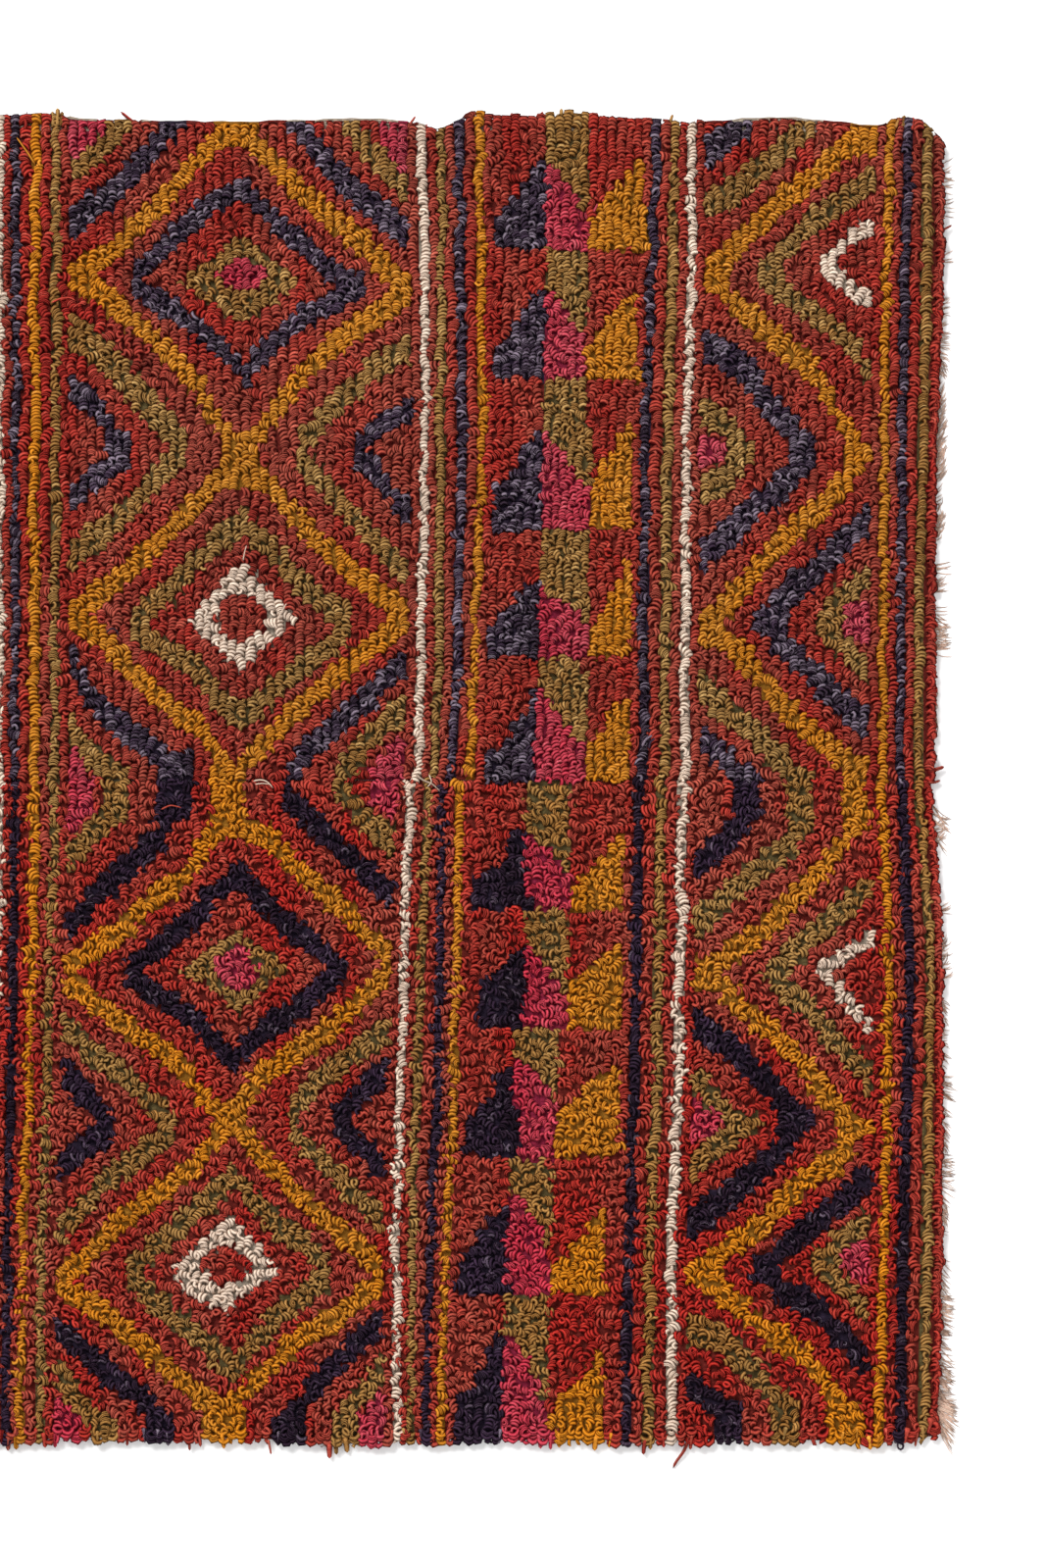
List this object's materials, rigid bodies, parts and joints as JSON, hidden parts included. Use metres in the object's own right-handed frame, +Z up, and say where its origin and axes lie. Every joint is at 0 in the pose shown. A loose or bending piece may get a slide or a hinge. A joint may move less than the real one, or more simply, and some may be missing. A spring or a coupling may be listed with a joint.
{
  "type": "tulu rug",
  "caption": "Flat looped-pile wool floor rug of two hand-woven panels sewn edge to edge, with short cut warp ends.",
  "frame": {"origin": "on the floor under the middle of the whole rug, fringe included", "axes": "+Z up; +X along the warp, towards the fringed end that the picture shows at its right; +Y across the two panels, towards the picture's upper edge"},
  "size_m": [1.3924, 1.286, 0.0145],
  "materials": {
    "red_wool": "handspun wool loops, matt",
    "gold_wool": "handspun wool loops, matt",
    "olive_wool": "handspun wool loops, matt",
    "navy_wool": "handspun wool loops, heathered",
    "rose_wool": "handspun wool loops, matt",
    "ivory_wool": "handspun wool loops, matt",
    "ground_weave": "flat woven wool",
    "warp_ends": "plied wool yarn, cut ends"
  },
  "bodies": {
    "root": {"panel_upper": "red_wool", "panel_lower": "red_wool", "fringe_right_upper": "warp_ends", "fringe_right_lower": "warp_ends", "fringe_left_upper": "warp_ends", "fringe_left_lower": "warp_ends"}
  },
  "joints": []
}
